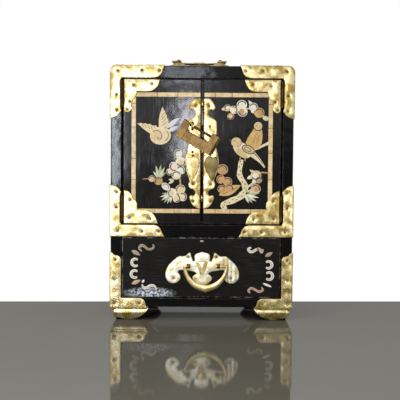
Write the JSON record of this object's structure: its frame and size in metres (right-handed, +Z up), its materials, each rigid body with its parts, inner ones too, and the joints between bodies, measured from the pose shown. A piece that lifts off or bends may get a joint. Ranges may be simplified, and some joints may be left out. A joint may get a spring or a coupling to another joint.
{
  "type": "lacquer jewelry cabinet",
  "caption": "Small black lacquer cabinet with brass mounts, two hinged doors over inner drawers, a lower drawer and a padlock.",
  "frame": {"origin": "on the floor, under the centre of the overall box", "axes": "+X to the right seen from the front, +Y to the back, +Z up; the doors face -Y"},
  "size_m": [0.219, 0.172, 0.3121],
  "materials": {
    "lacquer": "glossy black lacquer over wood",
    "brass": "polished sheet brass, lightly tarnished",
    "old_brass": "dull aged brass",
    "stone": "cream soapstone inlay, waxed",
    "shell": "carved mother-of-pearl and pale stone",
    "lining": "dark red satin lacquer"
  },
  "bodies": {
    "root": {"top_board": "lacquer", "bottom_board": "lacquer", "right_side_board": "lacquer", "left_side_board": "lacquer", "back_board": "lacquer", "middle_board": "lacquer", "left_front_foot": "lacquer", "right_front_foot": "lacquer", "left_rear_foot": "lacquer", "right_rear_foot": "lacquer", "left_front_foot_mount": "brass", "right_front_foot_mount": "brass", "left_rear_foot_mount": "brass", "right_rear_foot_mount": "brass", "left_front_top_mount": "brass", "right_front_top_mount": "brass", "left_rear_top_mount": "brass", "right_rear_top_mount": "brass", "left_middle_mount": "brass", "right_middle_mount": "brass", "left_upper_hinge_frame_leaf": "brass", "left_lower_hinge_frame_leaf": "brass", "right_upper_hinge_frame_leaf": "brass", "right_lower_hinge_frame_leaf": "brass", "inner_drawer_case": "lining", "top_handle_plate": "brass"},
    "left_door": {"left_door_panel": "lacquer", "left_door_band": "stone", "left_bird_inlay": "shell", "left_blossom_inlay": "shell", "left_door_top_mount": "brass", "left_door_bottom_mount": "brass", "left_upper_hinge_door_leaf": "brass", "left_lower_hinge_door_leaf": "brass", "left_lock_plate": "brass", "left_staple": "brass"},
    "right_door": {"right_door_panel": "lacquer", "right_door_band": "stone", "right_bird_inlay": "stone", "right_blossom_inlay": "shell", "right_door_top_mount": "brass", "right_door_bottom_mount": "brass", "right_upper_hinge_door_leaf": "brass", "right_lower_hinge_door_leaf": "brass", "right_lock_plate": "brass"},
    "padlock_case": {"padlock_case": "old_brass"},
    "padlock_bolt": {"padlock_bolt": "old_brass"},
    "lower_drawer": {"drawer_front": "lacquer", "drawer_tray": "lining", "drawer_pull_plate": "brass", "drawer_left_post": "brass", "drawer_right_post": "brass"},
    "drawer_pull_bail": {"drawer_pull_bail": "brass"},
    "upper_inner_drawer": {"upper_inner_drawer": "lacquer", "upper_inner_knob": "brass"},
    "middle_inner_drawer": {"middle_inner_drawer": "lacquer", "middle_inner_knob": "brass"},
    "lower_inner_drawer": {"lower_inner_drawer": "lacquer", "lower_inner_knob": "brass"},
    "top_handle_bail": {"top_handle_bail": "brass"}
  },
  "joints": [
    {"name": "left_door_hinge", "type": "hinge", "parent": "root", "child": "left_door", "pos_m": [-0.0948, -0.07515, 0.2], "axis": [0, 0, -1], "range_deg": [0, 165]},
    {"name": "right_door_hinge", "type": "hinge", "parent": "root", "child": "right_door", "pos_m": [0.0948, -0.07515, 0.2], "axis": [0, 0, 1], "range_deg": [0, 165]},
    {"name": "padlock_swing", "type": "hinge", "parent": "left_door", "child": "padlock_case", "pos_m": [-0.0114, -0.08085, 0.233], "axis": [0, -1, 0], "range_deg": [0, 40]},
    {"name": "padlock_bolt_slide", "type": "slide", "parent": "padlock_case", "child": "padlock_bolt", "axis": [-0.8704, 0, 0.4924], "range_m": [0, 0.0355]},
    {"name": "lower_drawer_slide", "type": "slide", "parent": "root", "child": "lower_drawer", "axis": [0, -1, 0], "range_m": [0, 0.105]},
    {"name": "drawer_pull_hinge", "type": "hinge", "parent": "lower_drawer", "child": "drawer_pull_bail", "pos_m": [0, -0.07895, 0.066], "axis": [-1, 0, 0], "range_deg": [0, 120]},
    {"name": "upper_inner_drawer_slide", "type": "slide", "parent": "root", "child": "upper_inner_drawer", "axis": [0, -1, 0], "range_m": [0, 0.058]},
    {"name": "middle_inner_drawer_slide", "type": "slide", "parent": "root", "child": "middle_inner_drawer", "axis": [0, -1, 0], "range_m": [0, 0.058]},
    {"name": "lower_inner_drawer_slide", "type": "slide", "parent": "root", "child": "lower_inner_drawer", "axis": [0, -1, 0], "range_m": [0, 0.058]},
    {"name": "top_handle_hinge", "type": "hinge", "parent": "root", "child": "top_handle_bail", "pos_m": [-0.004, 0.00545, 0.3096], "axis": [1, 0, 0], "range_deg": [0, 193]}
  ],
  "couplings": [
    {"joint": "right_door_hinge", "follows": "left_door_hinge", "ratio": 1},
    {"joint": "upper_inner_drawer_slide", "follows": "left_door_hinge", "m_per_rad": 0.02},
    {"joint": "middle_inner_drawer_slide", "follows": "left_door_hinge", "m_per_rad": 0.02},
    {"joint": "lower_inner_drawer_slide", "follows": "left_door_hinge", "m_per_rad": 0.02}
  ]
}
